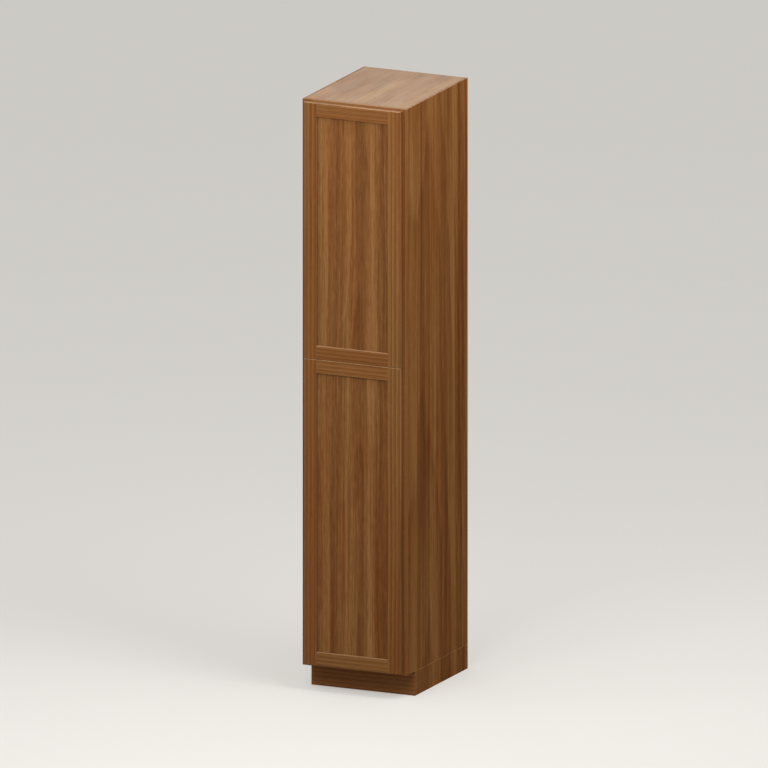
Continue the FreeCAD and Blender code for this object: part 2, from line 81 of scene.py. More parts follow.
# A face is a rounded edge if no axis takes up this share of its direction.
ONE_WAY = 0.985
# Level edges are paler than upright ones, whose faces hardly look up or down: partly as hands and cloths
# rub them more, partly as a painted highlight for light from above.
LEVEL_WEAR_AND_HIGHLIGHT, UPRIGHT_WEAR_AND_HIGHLIGHT, UPRIGHT_SLOPE = 1.0, 0.1, 0.1
# Faces of a board carry with this attribute how far they look up, which the finish paints paler: partly
# settled dust, partly painted light from above.
UPWARD = "upward"
# They carry with this one how far they look to a side, which is the end grain of a board laid across.
SIDEWARD = "sideward"
# Points that carry a turned piece say with this attribute which way its head looks.
FACING = "facing"
# Most values of a noise lie in this span.
MOST = (0.3, 0.7)

log = logging.getLogger("broom_cupboard")

Colour = tuple[float, float, float, float]
Triple = tuple[float, float, float]
Pair = tuple[float, float]
# The middle of a turned piece's head, in metres, and the way that it looks.
Place = tuple[Vector, Vector]
Piece = bpy.types.Object
Socket = bpy.types.NodeSocket
# What adds a node to one tree: add_node with its tree given.
Adder = Callable[..., Socket]


def linear(code: str) -> Colour:
    """Turn an sRGB hex code into a linear colour.

    Args:
        code: Six hex digits after a hash sign.

    Returns:
        Red, green, blue and an alpha of one.
    """
    shares = [int(code[start:start + 2], 16) / 255 for start in (1, 3, 5)]
    red, green, blue = (s / 12.92 if s <= 0.04045 else ((s + 0.055) / 1.055) ** 2.4 for s in shares)
    return red, green, blue, 1.0


def grey(level: float) -> Colour:
    """Give a linear grey of that level."""
    return level, level, level, 1.0


def add_node(
    tree: bpy.types.NodeTree,
    kind: str,
    inputs: dict[int | str, object] | None = None,
    output: int | str = 0,
    stops: Iterable[tuple[float, Colour]] = (),
    **settings: object,
) -> Socket | None:
    """Add a node with its settings, values and links.

    Some inputs go by number: a range's ends before and after are 1 to 4, a mix's colours 6 and 7.

    Args:
        tree: The tree that gets the node.
        kind: Blender's name for the node, without the ShaderNode or GeometryNode of its tree.
        inputs: A value, or a socket to link, for each input.
        output: Which output is wanted.
        stops: Places and colours of a colour ramp.
        settings: Properties of the node.

    Returns:
        The wanted output, or None for a node without one.
    """
    node = tree.nodes.new(kind if "Node" in kind else tree.bl_idname.removesuffix("Tree") + kind)
    for name, value in settings.items():
        setattr(node, name, value)
    for key, value in (inputs or {}).items():
        if isinstance(value, Socket):
            tree.links.new(value, node.inputs[key])
        else:
            node.inputs[key].default_value = value
    for number, (place, colour) in enumerate(stops):
        elements = node.color_ramp.elements
        stop = elements[number] if number < 2 else elements.new(place)
        stop.position = place
        stop.color = colour
    return node.outputs[output] if len(node.outputs) else None


def emptied(owner: bpy.types.Material | bpy.types.World) -> Adder:
    """Empty the node tree of a material or the world.

    Args:
        owner: The material or the world.

    Returns:
        What adds nodes to it.
    """
    owner.use_nodes = True
    owner.node_tree.nodes.clear()
    return partial(add_node, owner.node_tree)


class GrainRun(Enum):
    """How a board lies: the turn in degrees that puts its width, depth and grain on x, y and z."""

    UPRIGHT_FRONT = (0.0, 0.0, 0.0)
    UPRIGHT_SIDE = (0.0, 0.0, 90.0)
    ACROSS_FRONT = (0.0, 90.0, 0.0)
    ACROSS_FLAT = (90.0, 90.0, 0.0)
    DEEP_FLAT = (90.0, 0.0, 0.0)


class Body(Enum):
    """The moving bodies of the frame."""

    CARCASS = "carcass"
    UPPER_DOOR = "upper_door"
    LOWER_DOOR = "lower_door"
    UPPER_LATCH = "upper_latch"
    LOWER_LATCH = "lower_latch"


class Look(Enum):
    """Which way the head of a turned piece looks."""

    LEFT = (-1.0, 0.0, 0.0)
    RIGHT = (1.0, 0.0, 0.0)
    FRONT = (0.0, -1.0, 0.0)
    BACK = (0.0, 1.0, 0.0)
    UP = (0.0, 0.0, 1.0)


@dataclass(frozen=True)
class Finish:
    """What every finish has: its name, the record's material slot and a way to make its material once."""

    name: str
    slot: str

    def material(self) -> bpy.types.Material:
        """Give the finish's material, made at its first use.

        Returns:
            The material.
        """
        made = bpy.data.materials.get(self.name)
        if made is None:
            made = bpy.data.materials.new(self.name)
            add = emptied(made)
            add("OutputMaterial", {"Surface": self.shade(add)})
        return made

    def shade(self, add: Adder) -> Socket:
        """Build the shader, for which each kind of finish has its own way.

        Args:
            add: Adds a node to the material.

        Returns:
            The shader.
        """
        raise NotImplementedError(self.name)


@dataclass(frozen=True)
class Timber(Finish):
    """A sawn board under a matt oil: growth rings cut by its face, fine lines and open pores.

    Noise has a patch size across the board and one along it. Below its span it shows nothing of what it
    stands for, and above its span all.
    """

    run: GrainRun = GrainRun.UPRIGHT_FRONT
    dark: str = "#653F21"
    middle: str = "#79512C"
    light: str = "#8C653C"
    # Tones, from 0 to 1, that show these three colours.
    tones: Triple = (0.16, 0.5, 0.84)
    # A red cast that drifts over the board in broad patches, this many bands wide.
    cast: str = "#F8E8DF"
    cast_bands: float = 1.6
    cast_length: float = 1100.0
    cast_span: Pair = (0.38, 0.62)
    ring: float = 17.5
    ring_depth: float = 0.38
    ring_drift: Pair = (70.0, 900.0)
    # From the middle of the cupboard to the heart of the log, across and deep.
    heart: Pair = (760.0, 120.0)
    lean: float = 0.0
    wander: float = 2.0
    bends: Pair = (150.0, 800.0)
    line: Pair = (5.0, 2000.0)
    line_depth: float = 0.5
    # Short dark and pale dashes in the late wood.
    fleck: Pair = (4.0, 60.0)
    fleck_depth: float = 0.25
    band: Pair = (40.0, 1500.0)
    band_depth: float = 0.4
    # Real pores are 0.3 wide; they are drawn 0.9 wide, so that a near view shows them.
    pore: Pair = (0.9, 24.0)
    pore_span: Pair = (0.6, 0.72)
    pore_depth: float = 0.5
    pore_shade: float = 0.55
    shift: Triple = (0.0, 0.0, 0.0)
    # The board's own broad streaks: a place across it and a tone from 0, dark, to 1, pale.
    streaks: tuple[Pair, ...] = ()
    rough: Pair = (0.46, 0.6)
    specular: float = 0.04
    relief: float = 0.12
    # What an arris gains where the oil is rubbed off, together with a painted highlight on level edges:
    # the least and most of it, its patches and span.
    worn_and_lit_edge: str = "#8A6A45"
    worn_and_lit_edge_share: Pair = (0.15, 0.7)
    worn_and_lit_edge_patch: Pair = (30.0, 90.0)
    worn_and_lit_edge_span: Pair = (0.35, 0.65)
    # A pale film on what looks up, partly dust and partly painted light from above: its share, how that
    # varies, and its patches.
    dust_and_top_light: str = "#ECDFCA"
    dust_and_top_light_share: float = 0.1
    dust_and_top_light_change: Pair = (0.82, 1.18)
    dust_and_top_light_patch: Pair = (50.0, 180.0)
    # Oil that soaks into the end grain leaves this share of its brightness.
    end_grain: float = 1.0

    def shade(self, add: Adder) -> Socket:
        """Build the wood from the board's place in the cupboard."""
        place = add("TexCoord", output="Object")
        turn = [math.radians(angle) for angle in self.run.value]
        board = add("Mapping", {
            "Vector": place, "Location": self.shift, "Rotation": turn, "Scale": (1 / MM,) * 3,
        })
        grain = self.bend(add, board)
        fine = self.drawn_out(add, grain, self.line, 2.0)
        tone = self.tone(add, grain, fine)
        colours = map(linear, (self.dark, self.middle, self.light))
        colour = add("ValToRGB", {"Fac": tone}, stops=zip(self.tones, colours))
        drift = self.drawn_out(add, grain, (self.cast_bands * self.band[0], self.cast_length))
        low, high = self.cast_span
        drift = add("MapRange", {"Value": drift, 1: low, 2: high})
        pores = self.drawn_out(add, board, self.pore)
        low, high = self.pore_span
        pores = add("MapRange", {"Value": pores, 1: low, 2: high, 4: self.pore_depth})
        end = add("Attribute", output="Fac", attribute_name=SIDEWARD)
        # Paler rounded edges: rubbed wood, with a painted highlight on the level ones.
        worn_and_lit_edges = self.drawn_out(add, board, self.worn_and_lit_edge_patch, 2.0)
        worn_and_lit_edges = self.cover(add, ARRIS, worn_and_lit_edges, self.worn_and_lit_edge_span, self.worn_and_lit_edge_share)
        # Paler faces that look up: dust, and painted light from above.
        dust_and_top_light = self.drawn_out(add, board, self.dust_and_top_light_patch, 2.0)
        dust_and_top_light_cover = [change * self.dust_and_top_light_share for change in self.dust_and_top_light_change]
        dust_and_top_light = self.cover(add, UPWARD, dust_and_top_light, MOST, dust_and_top_light_cover)
        layers = (
            ("MULTIPLY", drift, linear(self.cast)),
            ("MULTIPLY", pores, grey(self.pore_shade)),
            ("MULTIPLY", end, grey(self.end_grain)),
            ("SCREEN", worn_and_lit_edges, linear(self.worn_and_lit_edge)),
            ("MIX", dust_and_top_light, linear(self.dust_and_top_light)),
        )
        for mode, share, over in layers:
            mix = {"Factor": share, 6: colour, 7: over}
            colour = add("Mix", mix, 2, data_type="RGBA", blend_type=mode)
        (low, high), (bright, dull) = MOST, self.rough
        rough = add("MapRange", {"Value": fine, 1: low, 2: high, 3: dull, 4: bright})
        relief = add("Math", {0: pores, 1: -1.0, 2: fine}, operation="MULTIPLY_ADD")
        bump = add("Bump", {"Strength": 0.35, "Distance": self.relief * MM, "Height": relief})
        return add("BsdfPrincipled", {
            "Base Color": colour, "Roughness": rough, "Normal": bump, "IOR": 1.5,
            "Specular IOR Level": self.specular,
        })

    def drawn_out(self, add: Adder, place: Socket, patch: Pair, detail: float = 1.0,
                  output: str = "Fac") -> Socket:
        """Give noise that is drawn out along the grain.

        Args:
            add: Adds a node to the material.
            place: Where on the board, in millimetres.
            patch: Size of a patch across the board and along it.
            detail: How many finer layers there are.
            output: Fac for a number, Color for three.

        Returns:
            A value that is about 0.5 on average.
        """
        size = (patch[0], patch[0], patch[1])
        scaled = add("VectorMath", {0: place, 1: size}, operation="DIVIDE")
        return add("TexNoise", {"Vector": scaled, "Scale": 1.0, "Detail": detail}, output)

    def bend(self, add: Adder, board: Socket) -> Socket:
        """Let the straight grain wander to both sides as it does in a grown log.

        Args:
            add: Adds a node to the material.
            board: Where on the board, in millimetres.

        Returns:
            Where on a straight board the same wood would be.
        """
        drift = self.drawn_out(add, board, self.bends, output="Color")
        drift = add("VectorMath", {0: drift, 1: (0.5,) * 3}, operation="SUBTRACT")
        reach = (6 * self.wander, 6 * self.wander, 0.0)
        return add("VectorMath", {0: drift, 1: reach, 2: board}, operation="MULTIPLY_ADD")

    def rings(self, add: Adder, grain: Socket) -> Socket:
        """Give the growth rings round the heart of the log.

        Args:
            add: Adds a node to the material.
            grain: Where on a straight board, in millimetres.

        Returns:
            0 in the early wood, rising to 1 in the late wood, then a sharp step.
        """
        across, deep = self.heart
        along = add("SeparateXYZ", {0: grain}, 2)
        deep = add("Math", {0: along, 1: self.lean, 2: deep}, operation="MULTIPLY_ADD")
        slant = add("CombineXYZ", {0: across, 1: deep})
        place = add("VectorMath", {0: grain, 1: slant}, operation="ADD")
        place = add("VectorMath", {0: place, 1: (1.0, 1.0, 0.0)}, operation="MULTIPLY")
        radius = add("VectorMath", {0: place}, "Value", operation="LENGTH")
        turns = add("Math", {0: radius, 1: self.ring}, operation="DIVIDE")
        uneven = self.drawn_out(add, grain, self.ring_drift)
        turns = add("Math", {0: uneven, 1: 0.2 * self.wander, 2: turns}, operation="MULTIPLY_ADD")
        share = add("Math", {0: turns}, operation="FRACT")
        return add("ValToRGB", {"Fac": share}, stops=(
            (0.0, grey(0.0)), (0.6, grey(0.55)), (0.86, grey(1.0)), (1.0, grey(0.0)),
        ))

    def tone(self, add: Adder, grain: Socket, fine: Socket) -> Socket:
        """Add up lines, flecks, bands, rings and streaks.

        Args:
            add: Adds a node to the material.
            grain: Where on a straight board, in millimetres.
            fine: The fine lines.

        Returns:
            One tone from 0, dark, to 1, pale.
        """
        parts = (
            (fine, self.line_depth),
            (self.drawn_out(add, grain, self.fleck), self.fleck_depth),
            (self.drawn_out(add, grain, self.band), self.band_depth),
            (self.rings(add, grain), -self.ring_depth),
        )
        # Noise and rings are this on average, so that the tone starts where it ends at 0.5 on average.
        noise, ring = 0.5, 0.45
        depths = self.line_depth + self.fleck_depth + self.band_depth
        tone = 0.5 - noise * depths + ring * self.ring_depth
        for part, depth in parts:
            tone = add("Math", {0: part, 1: depth, 2: tone}, operation="MULTIPLY_ADD")
        if not self.streaks:
            return tone
        low, high = self.streaks[0][0], self.streaks[-1][0]
        across = add("SeparateXYZ", {0: grain})
        share = add("MapRange", {"Value": across, 1: low, 2: high})
        streaks = add("ValToRGB", {"Fac": share}, stops=[
            ((place - low) / (high - low), grey(level)) for place, level in self.streaks
        ])
        streaks.node.color_ramp.interpolation = "CARDINAL"
        centred = add("Math", {0: streaks, 1: 0.5}, operation="SUBTRACT")
        return add("Math", {0: centred, 1: tone}, operation="ADD")

    def cover(self, add: Adder, faces: str, noise: Socket, span: Pair, share: Sequence[float]) -> Socket:
        """Give how far the faces that carry an attribute are covered, which is uneven.

        Args:
            add: Adds a node to the material.
            faces: The attribute.
            noise: What makes it uneven.
            span: The noise's span.
            share: The least and the most that is covered.

        Returns:
            The share that is covered.
        """
        (low, high), (least, most) = span, share
        uneven = add("MapRange", {"Value": noise, 1: low, 2: high, 3: least, 4: most})
        shown = add("Attribute", output="Fac", attribute_name=faces)
        return add("Math", {0: shown, 1: uneven}, operation="MULTIPLY")


@dataclass(frozen=True)
class Metal(Finish):
    """A stamped or turned metal under a plated finish, with drawn marks and duller patches."""

    colour: str = "#8A8A88"
    patch: str = "#6C6C6A"
    rough: Pair = (0.28, 0.42)
    # Size of the tool's marks along x, y and z, their depth, and a dull patch's size and span.
    mark: Triple = (0.35, 0.35, 9.0)
    relief: float = 0.02
    patch_size: float = 6.0
    patch_span: Pair = (0.45, 0.7)

    def shade(self, add: Adder) -> Socket:
        """Build the metal from tool marks and patches of tarnish."""
        place = add("TexCoord", output="Object")
        size = [length * MM for length in self.mark]
        scaled = add("VectorMath", {0: place, 1: size}, operation="DIVIDE")
        marks = add("TexNoise", {"Vector": scaled, "Scale": 1.0, "Detail": 2.0})
        patches = add("TexNoise", {"Vector": place, "Scale": 1 / (self.patch_size * MM), "Detail": 3.0})
        low, high = self.patch_span
        share = add("MapRange", {"Value": patches, 1: low, 2: high})
        colours = {6: linear(self.colour), 7: linear(self.patch)}
        colour = add("Mix", {"Factor": share, **colours}, 2, data_type="RGBA")
        (low, high), (bright, dull) = MOST, self.rough
        rough = add("MapRange", {"Value": marks, 1: low, 2: high, 3: bright, 4: dull})
        bump = add("Bump", {"Strength": 0.2, "Distance": self.relief * MM, "Height": marks})
        return add("BsdfPrincipled", {
            "Base Color": colour, "Metallic": 1.0, "Roughness": rough, "Normal": bump,
        })


@dataclass(frozen=True)
class Moulding(Finish):
    """A moulded polymer: even colour, a spark-eroded skin and faint flow patches."""

    colour: str = "#4A4744"
    patch: str = "#57534F"
    rough: Pair = (0.45, 0.6)
    # Size of the skin's grains, index of refraction, depth of the grains and size of a flow patch.
    skin: float = 0.5
    ior: float = 1.53
    relief: float = 0.03
    patch_size: float = 11.0

    def shade(self, add: Adder) -> Socket:
        """Build the polymer from its skin and flow patches."""
        place = add("TexCoord", output="Object")
        skin, flow = (
            add("TexNoise", {"Vector": place, "Scale": 1 / (size * MM), "Detail": 2.0})
            for size in (self.skin, self.patch_size)
        )
        colours = {6: linear(self.colour), 7: linear(self.patch)}
        colour = add("Mix", {"Factor": flow, **colours}, 2, data_type="RGBA")
        (low, high), (bright, dull) = MOST, self.rough
        rough = add("MapRange", {"Value": flow, 1: low, 2: high, 3: bright, 4: dull})
        bump = add("Bump", {"Strength": 0.25, "Distance": self.relief * MM, "Height": skin})
        return add("BsdfPrincipled", {
            "Base Color": colour, "Roughness": rough, "Normal": bump, "IOR": self.ior,
        })


# Walnut under matt oil: warm brown, straight fine lines, hardly any gloss except at a low angle.
DOOR_STILE = Timber("walnut_door_stile", "door_walnut", shift=(0.0, 90.0, 700.0))
DOOR_RAIL = Timber("walnut_door_rail", "door_walnut", GrainRun.ACROSS_FRONT, shift=(45.0, 0.0, 90.0))
# Flat-sawn panels: wider, wandering streaks, long pointed flames and many short flecks.
DOOR_PANEL = Timber(
    "walnut_door_panel", "door_walnut", ring=24.0, ring_depth=0.2,
    heart=(-30.0, 300.0), lean=0.035, wander=4.0, line=(7.0, 900.0), line_depth=0.75,
    fleck=(5.0, 55.0), fleck_depth=0.6, band=(30.0, 1500.0),
    streaks=((-160.0, 0.45), (-120.0, 0.64), (-82.0, 0.36), (-44.0, 0.55), (2.0, 0.54),
             (41.0, 0.26), (78.0, 0.72), (116.0, 0.32), (160.0, 0.5)),
)
CASE_SIDE = Timber(
    "walnut_case_side", "case_walnut", GrainRun.UPRIGHT_SIDE, "#623A1B", "#774D26", "#8A6136",
    ring=21.0, ring_depth=0.25, heart=(-120.0, 260.0), lean=0.02, wander=4.0,
    line=(16.0, 1500.0), line_depth=0.85, fleck=(8.0, 70.0), fleck_depth=0.4,
    shift=(0.0, 400.0, 0.0), specular=0.01,
    streaks=((-290.0, 0.64), (-235.0, 0.4), (-156.0, 0.68), (-84.0, 0.34), (8.0, 0.66),
             (115.0, 0.36), (203.0, 0.6), (265.0, 0.46)),
)
# Its pale film is thicker: dust, and more painted light from above on the top.
CASE_TOP = Timber(
    "walnut_case_top", "case_walnut", GrainRun.DEEP_FLAT, ring=30.0, ring_depth=0.2,
    heart=(40.0, 300.0), lean=0.05, wander=5.0, line=(9.0, 700.0), band=(60.0, 1500.0), band_depth=0.8,
    shift=(70.0, 0.0, 0.0), specular=0.06, dust_and_top_light_share=0.165,
)
CASE_SHELF = Timber(
    "walnut_case_shelf", "case_walnut", GrainRun.ACROSS_FLAT, ring=22.0, heart=(90.0, 350.0), lean=0.06,
    wander=5.0, line=(5.0, 700.0), shift=(0.0, 0.0, 150.0), dust_and_top_light_share=0.03,
)
CASE_BACK = Timber(
    "walnut_back_panel", "case_walnut", ring=26.0, heart=(60.0, 420.0), lean=0.03,
    wander=6.0, line=(5.0, 900.0), band=(55.0, 1500.0), shift=(200.0, 0.0, 700.0),
)
FRAME_STILE = Timber("walnut_frame_stile", "frame_walnut", shift=(120.0, 0.0, 0.0), specular=0.01)
FRAME_RAIL = Timber("walnut_frame_rail", "frame_walnut", GrainRun.ACROSS_FRONT, shift=(20.0, 0.0, 400.0))
# Paler than the other walnut: painted light that lifts these boards out of the shade of the toe recess.
PLINTH_ACROSS_LIGHTENED = Timber(
    "walnut_plinth_across", "plinth_walnut", GrainRun.ACROSS_FRONT, "#714728", "#865A33", "#9B7146",
    shift=(15.0, 60.0, 0.0), end_grain=0.76,
)
PLINTH_SIDE = replace(
    CASE_SIDE, name="walnut_plinth_side", slot="plinth_walnut", shift=(26.0, 380.0, 500.0),
)
# Sawn poplar, unfinished: pale and greenish yellow, with a dull face.
POPLAR = Timber(
    "sawn_poplar", "rail_poplar", GrainRun.ACROSS_FRONT, "#9C8659", "#B9A273", "#CDB98C",
    cast="#EEF0DC", ring=11.0, ring_depth=0.18, rough=(0.62, 0.78), specular=0.3,
)
POPLAR_UPRIGHT = replace(POPLAR, name="sawn_poplar_upright", run=GrainRun.UPRIGHT_FRONT)
# Turned beech: pinkish tan with short dark flecks.
BEECH = replace(
    POPLAR, name="turned_beech", slot="dowel_beech", dark="#A97C55", middle="#C69A70", light="#D5AE87",
    cast="#F4E4DA", pore=(1.2, 5.0),
)
# Stamped steel under an oil-rubbed bronze plating: dark brown, copper where it is rubbed.
BRONZE = Metal("oil_rubbed_bronze_plating", "hinge_bronze", "#5B4636", "#3A2C23", (0.36, 0.55))
# Bright nickel on turned steel: pale, faintly yellow.
NICKEL = Metal(
    "nickel_plated_steel", "nickel_steel", "#BDB6AB", "#A59E93", (0.2, 0.34), (0.25, 4.0, 0.25),
)
# Zinc-plated screws: blue-grey and a little cloudy.
ZINC = Metal("zinc_plated_steel", "zinc_screw", "#A9ADB0", "#8B8F93", (0.3, 0.46), (0.3, 0.3, 2.0))
# Moulded acetal of the latches: dark grey with a satin skin.
ACETAL = Moulding("moulded_acetal", "latch_plastic", "#3B3836", "#454240")
# Soft polyurethane drops: milky and slightly shiny.
BUMPER = Moulding("soft_polyurethane", "bumper_rubber", "#B9B4A8", "#C6C1B6", (0.28, 0.4), 1.2, 1.49)


def solids(node: str) -> list[tuple[Vector, Vector]]:
    """Find the separate solids of a CAD node.

    Args:
        node: The CAD node.

    Returns:
        The lowest and highest corner of each solid, in metres, lowest solids first.
    """
    mesh = bmesh.new()
    mesh.from_mesh(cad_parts[node].data)
    bmesh.ops.remove_doubles(mesh, verts=mesh.verts, dist=WELD_M)
    left = set(mesh.verts)
    boxes = []
    while left:
        front = [left.pop()]
        points = []
        while front:
            vertex = front.pop()
            points.append(vertex.co.copy())
            near = {edge.other_vert(vertex) for edge in vertex.link_edges} & left
            left -= near
            front.extend(near)
        boxes.append((Vector(map(min, *points)), Vector(map(max, *points))))
    mesh.free()
    return sorted(boxes, key=lambda box: [round(box[0][axis], 5) for axis in (2, 0, 1)])


def heads(node: str, look: Look) -> list[Place]:
    """Give the place of the head of each solid of a CAD node, which all look one way."""
    facing = Vector(look.value)
    return [((low + high + facing * (high - low)) / 2, facing) for low, high in solids(node)]


def new_piece(name: str, data: bpy.types.ID) -> Piece:
    """Put a mesh, curve, light or camera into the scene as a piece at the origin."""
    piece = bpy.data.objects.new(name, data)
    bpy.context.scene.collection.objects.link(piece)
    return piece


def settle(piece: Piece, body: Body, finish: Finish, *nodes: str) -> None:
    """Give a finished piece its material and body, and hide the CAD nodes that it stands for.

    Args:
        piece: The piece, whose place is in its mesh.
        body: The body that it moves with.
        finish: Its finish.
        nodes: The CAD nodes that it replaces.
    """
    piece.data.materials.clear()
    piece.data.materials.append(finish.material())
    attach(piece, body.value)
    if nodes:
        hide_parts(*nodes)
    faces = len(piece.data.polygons)
    log.info("%s rides on %s, %d faces, %s", piece.name, body.value, faces, finish.name)


def eased_copy(node: str, arris: float, shortest: float = BOARD_EDGE) -> Piece:
    """Copy a CAD node and round its long outer edges, as a sanded board or a tumbled stamping has them.

    Args:
        node: The CAD node.
        arris: Width of the rounding.
        shortest: Edges shorter than this stay as they are.

    Returns:
        A new piece whose faces carry the arris, upward and sideward attributes.
    """
    mesh = bmesh.new()
    mesh.from_mesh(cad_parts[node].data)
    wear_and_highlight, upward, sideward = map(mesh.faces.layers.float.new, (ARRIS, UPWARD, SIDEWARD))
    bmesh.ops.remove_doubles(mesh, verts=mesh.verts, dist=WELD_M)
    bmesh.ops.dissolve_limit(mesh, angle_limit=FLAT, verts=mesh.verts, edges=mesh.edges)
    edges = [
        edge for edge in mesh.edges
        if edge.is_manifold and edge.is_convex and edge.calc_length() > shortest * MM
        and edge.calc_face_angle() > CORNER
    ]
    bmesh.ops.bevel(mesh, geom=edges, offset=arris * MM, offset_type="OFFSET", segments=2, profile=0.5,
                    affect="EDGES", clamp_overlap=True)
    bmesh.ops.dissolve_degenerate(mesh, dist=WELD_M, edges=mesh.edges)
    mesh.normal_update()
    # Rounded edges carry wear with a painted highlight; faces that look up, dust with painted light from
    # above.
    for face in mesh.faces:
        if max(map(abs, face.normal)) < ONE_WAY:
            face[wear_and_highlight] = LEVEL_WEAR_AND_HIGHLIGHT if abs(face.normal.z) > UPRIGHT_SLOPE else UPRIGHT_WEAR_AND_HIGHLIGHT
        face[upward] = max(0.0, face.normal.z)
        face[sideward] = abs(face.normal.x)
    data = bpy.data.meshes.new(f"{node}_eased")
    mesh.to_mesh(data)
    mesh.free()
    return new_piece(data.name, data)


def stamped_copy(node: str, arris: float) -> Piece:
    """Copy a stamped CAD node with tumbled edges, flat on its leaves and smooth round its barrels.

    Args:
        node: The CAD node.
        arris: Width of the rounding.

    Returns:
        A new piece.
    """
    piece = eased_copy(node, arris, SMALL_EDGE)
    piece.data.set_sharp_from_angle(angle=STAMPED_CREASE)
    for face in piece.data.polygons:
        face.use_smooth = face.area < BARREL_FACE_M2
    return piece


